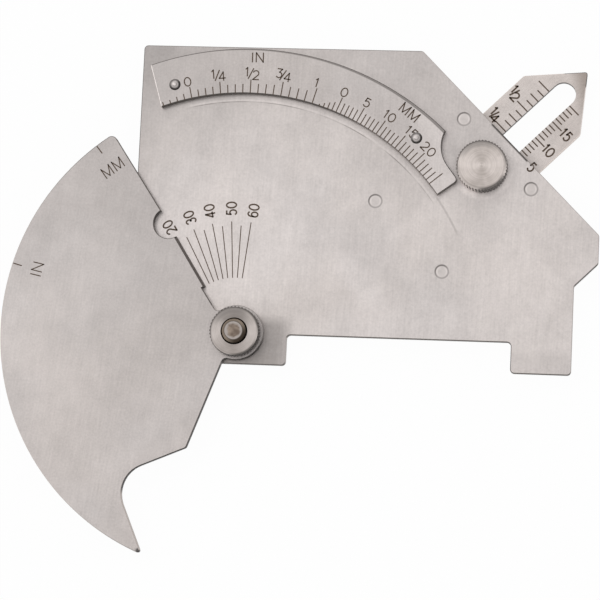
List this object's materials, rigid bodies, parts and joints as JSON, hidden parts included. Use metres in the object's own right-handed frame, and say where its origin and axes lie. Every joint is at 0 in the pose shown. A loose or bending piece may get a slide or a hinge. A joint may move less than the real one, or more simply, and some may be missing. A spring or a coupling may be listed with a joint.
{
  "type": "weld gauge",
  "caption": "Flat steel weld gauge with bridge feet, a sector cam with a claw, a riveted arc scale and a slotted pointer, clamped by knurled fasteners.",
  "frame": {"origin": "on the pivot axis, in the plane that the gauge rests on when it lies on its back", "axes": "+X along the top edge from the cam to the nose, +Y from the feet to the top edge, +Z out of the marked front, along the pivot axis"},
  "size_m": [0.1283, 0.1106, 0.0106],
  "materials": {
    "plate_steel": "satin brushed",
    "turned_steel": "turned",
    "rivet_steel": "satin brushed"
  },
  "bodies": {
    "body": {"body_plate": "plate_steel", "cover_plate": "plate_steel", "arc_scale": "plate_steel", "pivot_stud": "turned_steel", "guide_rivet_1": "rivet_steel", "guide_rivet_2": "rivet_steel", "guide_rivet_3": "rivet_steel", "guide_rivet_4": "rivet_steel", "scale_rivet_1": "rivet_steel", "scale_rivet_2": "rivet_steel"},
    "cam": {"cam_plate": "plate_steel"},
    "pointer": {"pointer": "plate_steel"},
    "pivot_nut": {"pivot_nut": "turned_steel"},
    "lock_screw": {"lock_screw": "turned_steel"}
  },
  "joints": [
    {"name": "cam_turn", "type": "hinge", "parent": "body", "child": "cam", "pos_m": [0, 0, 0.0058], "axis": [0, 0, 1], "continuous": true},
    {"name": "pointer_slide", "type": "slide", "parent": "body", "child": "pointer", "axis": [0.7071, 0.7071, 0], "range_m": [-0.0238, 0.0059]},
    {"name": "pivot_nut_turn", "type": "hinge", "parent": "body", "child": "pivot_nut", "pos_m": [0, 0, 0.008], "axis": [0, 0, 1], "range_deg": [0, 270]},
    {"name": "lock_screw_turn", "type": "hinge", "parent": "body", "child": "lock_screw", "pos_m": [0.05141, 0.03741, 0.007], "axis": [0, 0, 1], "range_deg": [0, 270]}
  ]
}
